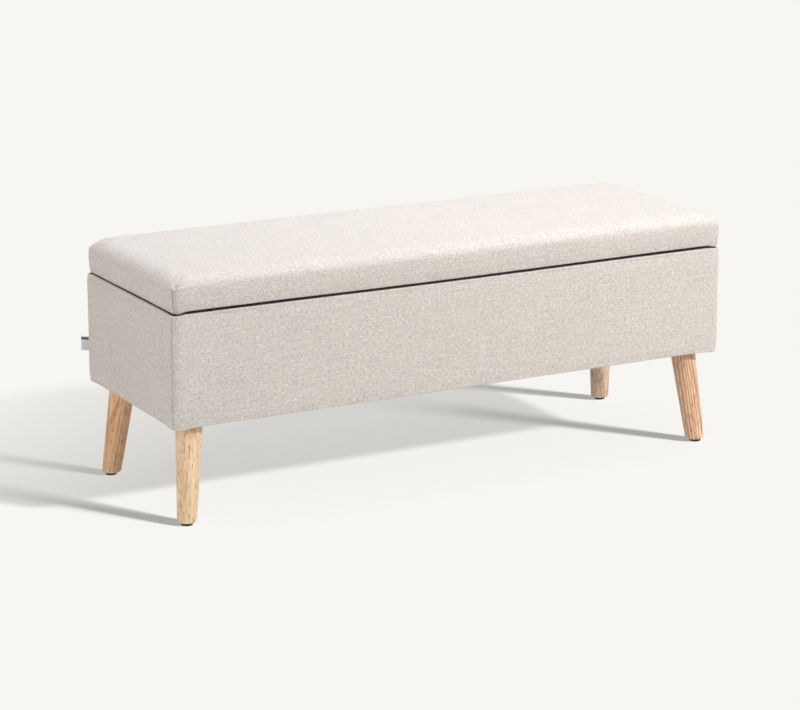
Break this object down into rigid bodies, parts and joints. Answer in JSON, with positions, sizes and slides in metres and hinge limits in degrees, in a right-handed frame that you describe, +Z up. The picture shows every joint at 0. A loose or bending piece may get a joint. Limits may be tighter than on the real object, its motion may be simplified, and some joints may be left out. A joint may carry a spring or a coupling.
{
  "type": "storage ottoman",
  "caption": "Long upholstered storage ottoman with a padded, back-hinged lid on two-arm stays, on splayed tapered round wooden legs.",
  "frame": {"origin": "on the floor, under the middle of the upholstered box", "axes": "+X along the length, to the right seen from the front; -Y towards the front; +Z up; the lid's hinge line is at the back, +Y"},
  "size_m": [1.1786, 0.4105, 0.462],
  "materials": {
    "linen": "matte",
    "tag_cloth": "matte",
    "black_cloth": "matte",
    "fibreboard": "matte",
    "foam": "matte",
    "oak": "satin",
    "black_plastic": "satin",
    "zinc": "satin",
    "black_steel": "satin"
  },
  "bodies": {
    "box": {"front_panel": "fibreboard", "back_panel": "fibreboard", "left_end_panel": "fibreboard", "right_end_panel": "fibreboard", "bottom_panel": "fibreboard", "front_left_corner_block": "fibreboard", "front_right_corner_block": "fibreboard", "back_left_corner_block": "fibreboard", "back_right_corner_block": "fibreboard", "box_cover": "linen", "interior_lining": "black_cloth", "dust_cover": "black_cloth", "label_tag": "tag_cloth", "front_left_leg": "oak", "front_left_leg_bolt": "zinc", "front_left_leg_plate": "black_steel", "front_left_glide": "black_plastic", "front_right_leg": "oak", "front_right_leg_bolt": "zinc", "front_right_leg_plate": "black_steel", "front_right_glide": "black_plastic", "back_left_leg": "oak", "back_left_leg_bolt": "zinc", "back_left_leg_plate": "black_steel", "back_left_glide": "black_plastic", "back_right_leg": "oak", "back_right_leg_bolt": "zinc", "back_right_leg_plate": "black_steel", "back_right_glide": "black_plastic", "left_hinge_box_leaf": "zinc", "left_hinge_pin": "zinc", "middle_hinge_box_leaf": "zinc", "middle_hinge_pin": "zinc", "right_hinge_box_leaf": "zinc", "right_hinge_pin": "zinc", "left_stay_box_bracket": "zinc", "left_stay_base_rivet": "zinc", "right_stay_box_bracket": "zinc", "right_stay_base_rivet": "zinc"},
    "lid": {"lid_board": "fibreboard", "lid_foam": "foam", "lid_cover": "linen", "lid_lining": "black_cloth", "left_bumper": "black_plastic", "right_bumper": "black_plastic", "left_hinge_lid_leaf": "zinc", "middle_hinge_lid_leaf": "zinc", "right_hinge_lid_leaf": "zinc", "left_stay_lid_bracket": "zinc", "left_stay_lid_rivet": "zinc", "right_stay_lid_bracket": "zinc", "right_stay_lid_rivet": "zinc"},
    "left_lower_arm": {"left_stay_lower_arm": "zinc", "left_stay_knee_rivet": "zinc"},
    "left_upper_arm": {"left_stay_upper_arm": "zinc"},
    "right_lower_arm": {"right_stay_lower_arm": "zinc", "right_stay_knee_rivet": "zinc"},
    "right_upper_arm": {"right_stay_upper_arm": "zinc"}
  },
  "joints": [
    {"name": "lid_hinge", "type": "hinge", "parent": "box", "child": "lid", "pos_m": [0, 0.206, 0.39675], "axis": [-1, 0, 0], "range_deg": [0, 100]},
    {"name": "left_stay_base", "type": "hinge", "parent": "box", "child": "left_lower_arm", "pos_m": [-0.5602, 0.136, 0.29675], "axis": [-1, 0, 0], "range_deg": [0, 100]},
    {"name": "left_stay_knee", "type": "hinge", "parent": "left_lower_arm", "child": "left_upper_arm", "pos_m": [-0.5577, 0.026, 0.28475], "axis": [-1, 0, 0], "range_deg": [-100, 0]},
    {"name": "right_stay_base", "type": "hinge", "parent": "box", "child": "right_lower_arm", "pos_m": [0.5602, 0.136, 0.29675], "axis": [-1, 0, 0], "range_deg": [0, 100]},
    {"name": "right_stay_knee", "type": "hinge", "parent": "right_lower_arm", "child": "right_upper_arm", "pos_m": [0.5577, 0.026, 0.28475], "axis": [-1, 0, 0], "range_deg": [-100, 0]}
  ],
  "couplings": [
    {"joint": "left_stay_base", "follows": "lid_hinge", "ratio": 1},
    {"joint": "left_stay_knee", "follows": "lid_hinge", "ratio": -1},
    {"joint": "right_stay_base", "follows": "lid_hinge", "ratio": 1},
    {"joint": "right_stay_knee", "follows": "lid_hinge", "ratio": -1}
  ]
}
